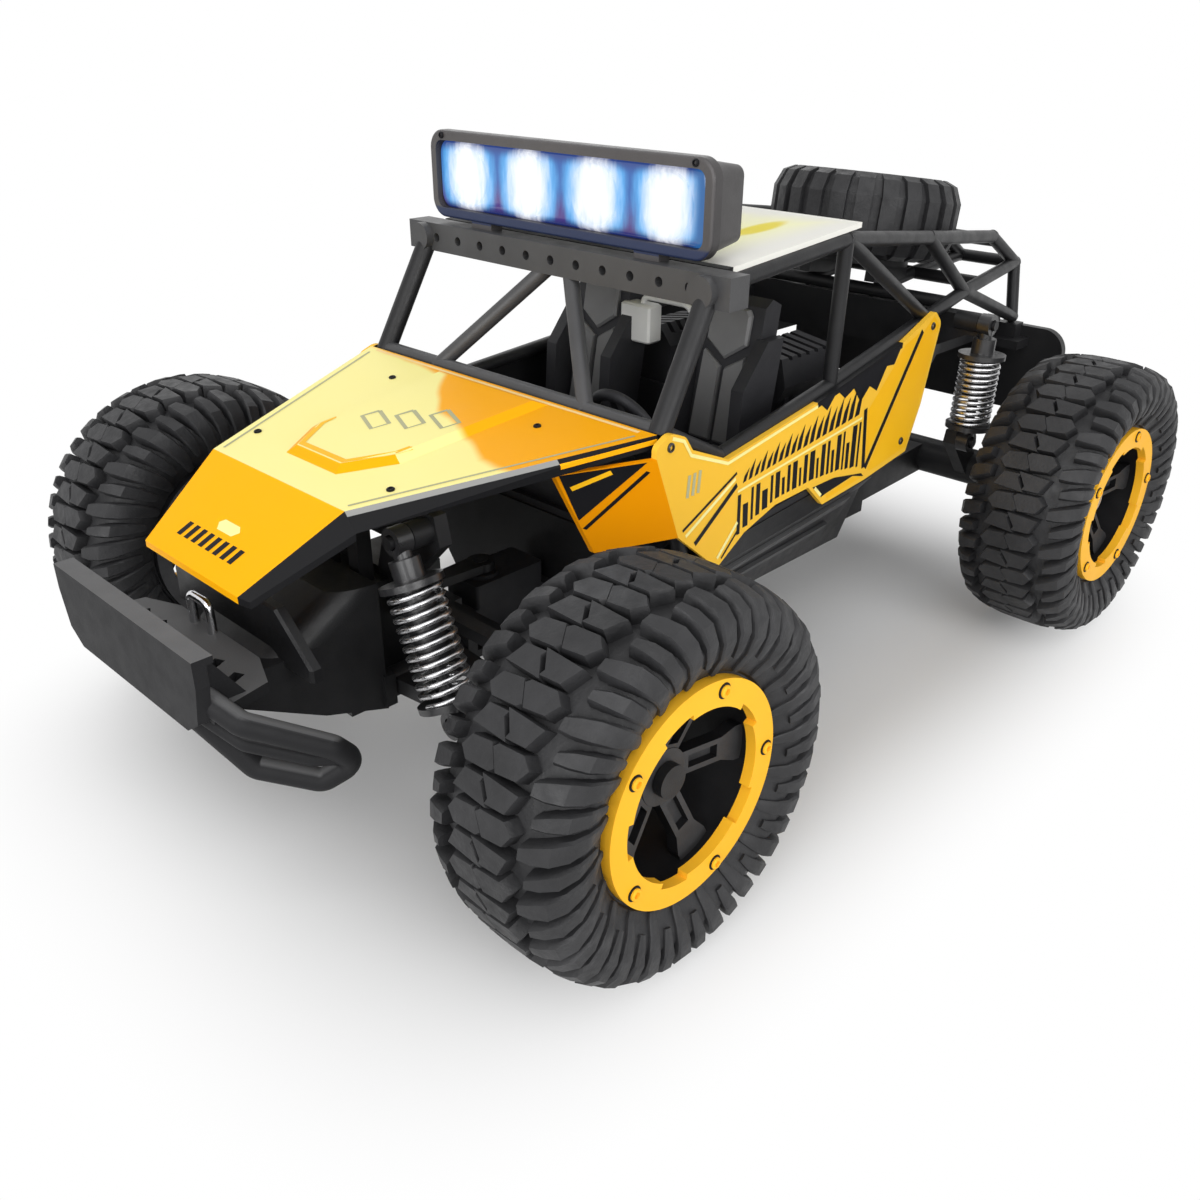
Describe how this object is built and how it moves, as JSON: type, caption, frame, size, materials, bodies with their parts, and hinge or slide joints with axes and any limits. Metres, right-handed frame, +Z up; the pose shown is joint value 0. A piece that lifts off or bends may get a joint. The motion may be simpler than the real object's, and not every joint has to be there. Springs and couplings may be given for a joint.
{
  "type": "radio-controlled off-road buggy",
  "caption": "Toy off-road buggy with tube cage, sprung suspension, steered front wheels, geared rear axle, roof light bar and a spare tyre.",
  "frame": {"origin": "on the ground, half-way along the overall length and on the centre plane", "axes": "+X forward, +Y to the left, +Z up"},
  "size_m": [0.326, 0.2108, 0.154],
  "materials": {
    "tyre": "matte",
    "rim_black": "satin",
    "ring_yellow": "gloss",
    "shock_black": "satin",
    "spring_steel": "bright",
    "suspension_black": "satin",
    "frame_black": "satin",
    "shell_yellow": "printed gloss",
    "roof_white": "printed gloss",
    "lamp_black": "satin",
    "lens_clear": "clear",
    "interior_black": "matte",
    "board_green": "satin",
    "axle_steel": "satin",
    "motor_can": "satin",
    "pinion_brass": "satin",
    "servo_black": "satin",
    "battery_sleeve": "gloss"
  },
  "bodies": {
    "chassis": {"chassis_tub": "frame_black", "front_bulkhead": "frame_black", "rear_bulkhead": "frame_black", "cage_left": "frame_black", "cage_right": "frame_black", "windscreen_frame": "frame_black", "spare_rack": "frame_black", "hood": "shell_yellow", "side_panel_left": "shell_yellow", "side_panel_right": "shell_yellow", "roof_panel": "roof_white", "light_housing": "lamp_black", "light_lens": "lens_clear", "cockpit_interior": "interior_black", "receiver_board": "board_green", "spare_tyre": "tyre", "front_bumper": "frame_black", "rear_bumper": "frame_black", "battery_pack": "battery_sleeve", "battery_cover": "frame_black", "steering_servo": "servo_black"},
    "wheel_front_left": {"tyre_front_left": "tyre", "rim_front_left": "rim_black", "beadlock_ring_front_left": "ring_yellow"},
    "lower_arm_left": {"lower_arm_left": "suspension_black"},
    "upper_link_left": {"upper_link_left": "suspension_black"},
    "wheel_carrier_left": {"wheel_carrier_left": "suspension_black"},
    "steering_knuckle_left": {"steering_knuckle_left": "suspension_black"},
    "shock_body_front_left": {"shock_cylinder_front_left": "shock_black", "shock_spring_front_left": "spring_steel"},
    "shock_rod_front_left": {"shock_rod_front_left": "shock_black"},
    "wheel_front_right": {"tyre_front_right": "tyre", "rim_front_right": "rim_black", "beadlock_ring_front_right": "ring_yellow"},
    "lower_arm_right": {"lower_arm_right": "suspension_black"},
    "upper_link_right": {"upper_link_right": "suspension_black"},
    "wheel_carrier_right": {"wheel_carrier_right": "suspension_black"},
    "steering_knuckle_right": {"steering_knuckle_right": "suspension_black"},
    "shock_body_front_right": {"shock_cylinder_front_right": "shock_black", "shock_spring_front_right": "spring_steel"},
    "shock_rod_front_right": {"shock_rod_front_right": "shock_black"},
    "tie_bar": {"tie_bar": "suspension_black"},
    "servo_horn": {"servo_horn": "suspension_black"},
    "axle_housing": {"axle_housing": "frame_black", "drive_motor": "motor_can"},
    "rear_axle": {"axle_gear": "axle_steel", "tyre_rear_left": "tyre", "tyre_rear_right": "tyre", "rim_rear_left": "rim_black", "rim_rear_right": "rim_black", "beadlock_ring_rear_left": "ring_yellow", "beadlock_ring_rear_right": "ring_yellow"},
    "motor_pinion": {"motor_pinion": "pinion_brass"},
    "shock_body_rear_left": {"shock_cylinder_rear_left": "shock_black", "shock_spring_rear_left": "spring_steel"},
    "shock_rod_rear_left": {"shock_rod_rear_left": "shock_black"},
    "shock_body_rear_right": {"shock_cylinder_rear_right": "shock_black", "shock_spring_rear_right": "spring_steel"},
    "shock_rod_rear_right": {"shock_rod_rear_right": "shock_black"},
    "power_switch": {"power_switch": "interior_black"}
  },
  "joints": [
    {"name": "arm_left", "type": "hinge", "parent": "chassis", "child": "lower_arm_left", "pos_m": [0.098, 0.015, 0.0375], "axis": [1, 0, 0], "range_deg": [0, 12.5], "stiffness_Nm_per_rad": 1, "springref_deg": -20.05},
    {"name": "link_left", "type": "hinge", "parent": "chassis", "child": "upper_link_left", "pos_m": [0.098, 0.015, 0.0555], "axis": [1, 0, 0], "range_deg": [0, 12.5]},
    {"name": "carrier_left", "type": "hinge", "parent": "lower_arm_left", "child": "wheel_carrier_left", "pos_m": [0.098, 0.052, 0.0375], "axis": [1, 0, 0], "range_deg": [-12.5, 0]},
    {"name": "steer_left", "type": "hinge", "parent": "wheel_carrier_left", "child": "steering_knuckle_left", "pos_m": [0.098, 0.062, 0.04415], "axis": [0, 0, 1], "range_deg": [-20, 20]},
    {"name": "spin_front_left", "type": "hinge", "parent": "steering_knuckle_left", "child": "wheel_front_left", "pos_m": [0.098, 0.08705, 0.04415], "axis": [0, 1, 0], "continuous": true},
    {"name": "shock_swing_front_left", "type": "hinge", "parent": "chassis", "child": "shock_body_front_left", "pos_m": [0.111, 0.027, 0.0796], "axis": [1, 0, 0], "range_deg": [0, 2.2]},
    {"name": "shock_slide_front_left", "type": "slide", "parent": "shock_body_front_left", "child": "shock_rod_front_left", "axis": [0, -0.3945, 0.9189], "range_m": [0, 0.0063], "deforming": ["shock_spring_front_left"]},
    {"name": "arm_right", "type": "hinge", "parent": "chassis", "child": "lower_arm_right", "pos_m": [0.098, -0.015, 0.0375], "axis": [-1, 0, 0], "range_deg": [0, 12.5], "stiffness_Nm_per_rad": 1, "springref_deg": -20.05},
    {"name": "link_right", "type": "hinge", "parent": "chassis", "child": "upper_link_right", "pos_m": [0.098, -0.015, 0.0555], "axis": [-1, 0, 0], "range_deg": [0, 12.5]},
    {"name": "carrier_right", "type": "hinge", "parent": "lower_arm_right", "child": "wheel_carrier_right", "pos_m": [0.098, -0.052, 0.0375], "axis": [-1, 0, 0], "range_deg": [-12.5, 0]},
    {"name": "steer_right", "type": "hinge", "parent": "wheel_carrier_right", "child": "steering_knuckle_right", "pos_m": [0.098, -0.062, 0.04415], "axis": [0, 0, 1], "range_deg": [-20, 20]},
    {"name": "spin_front_right", "type": "hinge", "parent": "steering_knuckle_right", "child": "wheel_front_right", "pos_m": [0.098, -0.08705, 0.04415], "axis": [0, 1, 0], "continuous": true},
    {"name": "shock_swing_front_right", "type": "hinge", "parent": "chassis", "child": "shock_body_front_right", "pos_m": [0.111, -0.027, 0.0796], "axis": [-1, 0, 0], "range_deg": [0, 2.2]},
    {"name": "shock_slide_front_right", "type": "slide", "parent": "shock_body_front_right", "child": "shock_rod_front_right", "axis": [0, 0.3945, 0.9189], "range_m": [0, 0.0063], "deforming": ["shock_spring_front_right"]},
    {"name": "tie_slide", "type": "slide", "parent": "chassis", "child": "tie_bar", "axis": [0, 1, 0], "range_m": [-0.0056, 0.0056]},
    {"name": "servo_turn", "type": "hinge", "parent": "chassis", "child": "servo_horn", "pos_m": [0.066, 0, 0.049], "axis": [0, 0, 1], "range_deg": [-20, 20]},
    {"name": "axle_swing", "type": "hinge", "parent": "chassis", "child": "axle_housing", "pos_m": [-0.062, 0, 0.042], "axis": [0, 1, 0], "range_deg": [0, 9.2], "stiffness_Nm_per_rad": 2, "springref_deg": -28.65},
    {"name": "axle_spin", "type": "hinge", "parent": "axle_housing", "child": "rear_axle", "pos_m": [-0.112, 0, 0.04415], "axis": [0, 1, 0], "continuous": true},
    {"name": "pinion_spin", "type": "hinge", "parent": "axle_housing", "child": "motor_pinion", "pos_m": [-0.09292, 0, 0.05109], "axis": [0, 1, 0], "continuous": true},
    {"name": "shock_swing_rear_left", "type": "hinge", "parent": "chassis", "child": "shock_body_rear_left", "pos_m": [-0.099, 0.05558, 0.096], "axis": [0, 1, 0], "range_deg": [-6, 0]},
    {"name": "shock_slide_rear_left", "type": "slide", "parent": "shock_body_rear_left", "child": "shock_rod_rear_left", "axis": [-0.0526, 0, 0.9986], "range_m": [0, 0.0053], "deforming": ["shock_spring_rear_left"]},
    {"name": "shock_swing_rear_right", "type": "hinge", "parent": "chassis", "child": "shock_body_rear_right", "pos_m": [-0.099, -0.05558, 0.096], "axis": [0, 1, 0], "range_deg": [-6, 0]},
    {"name": "shock_slide_rear_right", "type": "slide", "parent": "shock_body_rear_right", "child": "shock_rod_rear_right", "axis": [-0.0526, 0, 0.9986], "range_m": [0, 0.0053], "deforming": ["shock_spring_rear_right"]},
    {"name": "switch_slide", "type": "slide", "parent": "chassis", "child": "power_switch", "axis": [1, 0, 0], "range_m": [0, 0.004]}
  ],
  "couplings": [
    {"joint": "link_left", "follows": "arm_left", "ratio": 1},
    {"joint": "carrier_left", "follows": "arm_left", "ratio": -1},
    {"joint": "shock_swing_front_left", "follows": "arm_left", "ratio": 0.16438},
    {"joint": "shock_slide_front_left", "follows": "arm_left", "m_per_rad": 0.0283},
    {"joint": "link_right", "follows": "arm_right", "ratio": 1},
    {"joint": "carrier_right", "follows": "arm_right", "ratio": -1},
    {"joint": "shock_swing_front_right", "follows": "arm_right", "ratio": 0.16438},
    {"joint": "shock_slide_front_right", "follows": "arm_right", "m_per_rad": 0.0283},
    {"joint": "steer_right", "follows": "steer_left", "ratio": 1},
    {"joint": "tie_slide", "follows": "steer_left", "m_per_rad": -0.0157},
    {"joint": "servo_turn", "follows": "steer_left", "ratio": -1},
    {"joint": "pinion_spin", "follows": "axle_spin", "ratio": -4.8},
    {"joint": "shock_swing_rear_left", "follows": "axle_swing", "ratio": -0.62159},
    {"joint": "shock_slide_rear_left", "follows": "axle_swing", "m_per_rad": 0.031514},
    {"joint": "shock_swing_rear_right", "follows": "axle_swing", "ratio": -0.62159},
    {"joint": "shock_slide_rear_right", "follows": "axle_swing", "m_per_rad": 0.031514}
  ]
}
